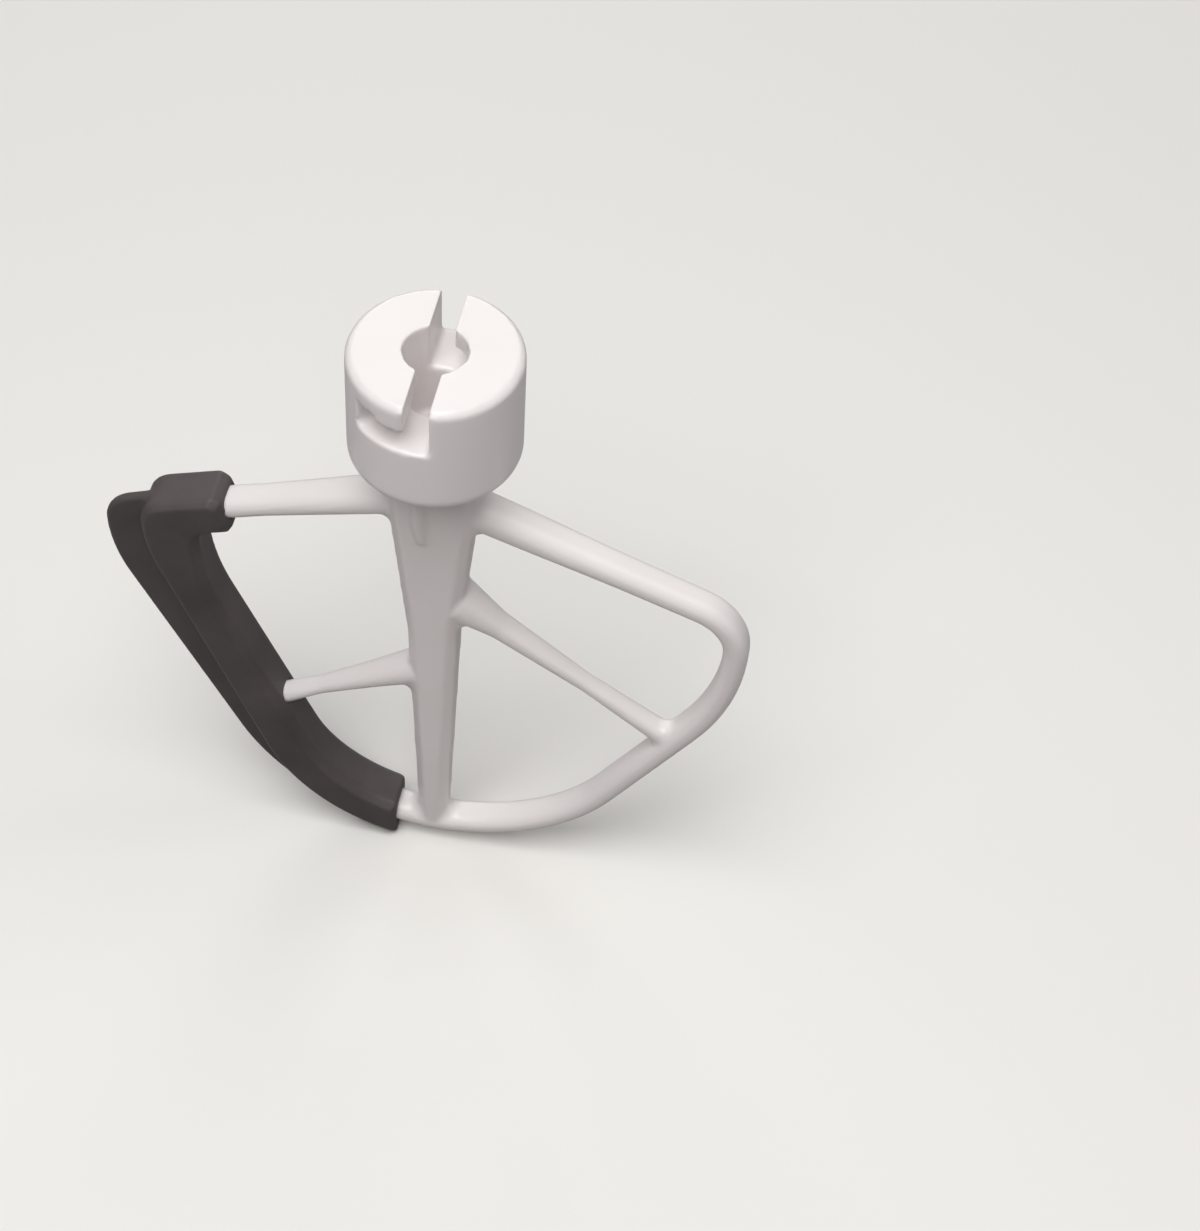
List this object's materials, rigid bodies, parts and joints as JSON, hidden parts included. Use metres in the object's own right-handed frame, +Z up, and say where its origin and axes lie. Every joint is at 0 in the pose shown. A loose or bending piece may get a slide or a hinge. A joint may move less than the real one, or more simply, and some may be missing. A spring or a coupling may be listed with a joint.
{
  "type": "stand mixer flat beater",
  "caption": "Flat beater for a stand mixer: coated cast frame with a round bayonet hub, tapered spine, leaf-shaped outline and ribs, and a rubber wiping edge moulded along its side.",
  "frame": {"origin": "centre of the drive bore at its mouth, on the top face of the hub collar", "axes": "+Z up along the drive shaft, +X across the flat of the beater towards its bare limb, +Y from its front to its back"},
  "size_m": [0.1396, 0.0356, 0.1585],
  "materials": {
    "coated_casting": "thick white coating, satin gloss",
    "edge_rubber": "moulded, matt"
  },
  "bodies": {
    "root": {"beater_frame": "coated_casting", "flex_edge": "edge_rubber"}
  },
  "joints": []
}
